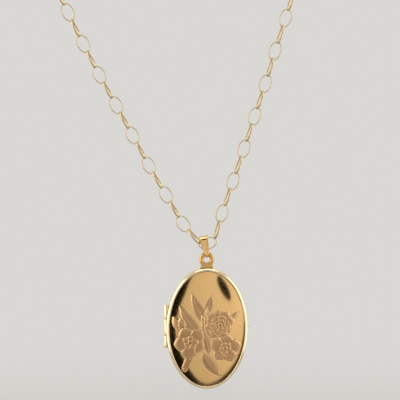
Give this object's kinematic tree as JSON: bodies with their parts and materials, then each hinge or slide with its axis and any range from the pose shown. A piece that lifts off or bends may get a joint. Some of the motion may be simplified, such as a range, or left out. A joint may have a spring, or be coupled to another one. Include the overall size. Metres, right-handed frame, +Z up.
{
  "type": "locket",
  "caption": "Oval hinged picture locket with domed covers in rounded rims, a pendant eye and tapered bail, on the two ends of an oval-link chain with its clasp.",
  "frame": {"origin": "midway between the chain's two ends, where the wearer's neck or a stand holds the necklace", "axes": "+X to the viewer's right, from the hinge side to the opening side; +Y from the engraved front to the back; +Z up, along the locket's long axis"},
  "size_m": [0.071, 0.0062, 0.1121],
  "materials": {
    "polished_gold": "rolled yellow gold on brass, polished",
    "engraved_gold": "rolled yellow gold on brass, polished, with a matte hand-engraved spray of flowers",
    "chain_gold": "pale yellow gold on brass, polished",
    "spring_steel": "drawn spring wire",
    "clear_sheet": "thin clear sheet",
    "card": "plain cream card"
  },
  "bodies": {
    "chain": {"chain_left": "chain_gold", "chain_right": "chain_gold", "end_ring_left": "chain_gold", "end_ring_right": "chain_gold", "clasp_tube": "chain_gold", "clasp_spring": "spring_steel", "clasp_tag": "chain_gold"},
    "clasp_bolt": {"clasp_bolt": "chain_gold"},
    "bail_link": {"bail_link": "chain_gold"},
    "bail": {"bail": "polished_gold"},
    "back_half": {"back_rim": "polished_gold", "back_cover": "polished_gold", "snap_lip": "polished_gold", "hinge_knuckle_upper": "polished_gold", "hinge_knuckle_lower": "polished_gold", "hinge_pin": "polished_gold", "back_picture_frame": "polished_gold", "back_window": "clear_sheet", "back_picture_card": "card", "pendant_eye": "polished_gold"},
    "front_half": {"front_rim": "polished_gold", "front_cover": "engraved_gold", "opening_nib": "polished_gold", "hinge_knuckle_middle": "polished_gold", "front_picture_frame": "polished_gold", "front_window": "clear_sheet", "front_picture_card": "card"}
  },
  "joints": [
    {"name": "clasp_bolt_slide", "type": "hinge", "parent": "chain", "child": "clasp_bolt", "pos_m": [-0.03358, 0, 0.00143], "axis": [0, -1, 0], "range_deg": [0, 26], "stiffness_Nm_per_rad": 0.00005, "springref_deg": -11.46, "deforming": ["clasp_spring"]},
    {"name": "link_swing", "type": "hinge", "parent": "chain", "child": "bail_link", "pos_m": [0.0085, 0, -0.0709], "axis": [1, 0, 0], "range_deg": [-30, 30]},
    {"name": "bail_rock", "type": "hinge", "parent": "bail_link", "child": "bail", "pos_m": [0.0078, 0, -0.0694], "axis": [1, 0, 0], "range_deg": [-6, 6]},
    {"name": "locket_swing", "type": "hinge", "parent": "bail", "child": "back_half", "pos_m": [0.0083, 0, -0.07365], "axis": [1, 0, 0], "range_deg": [-75, 75]},
    {"name": "cover_hinge", "type": "hinge", "parent": "back_half", "child": "front_half", "pos_m": [-0.00185, 0, -0.0924], "axis": [0, 0, -1], "range_deg": [0, 150]}
  ]
}
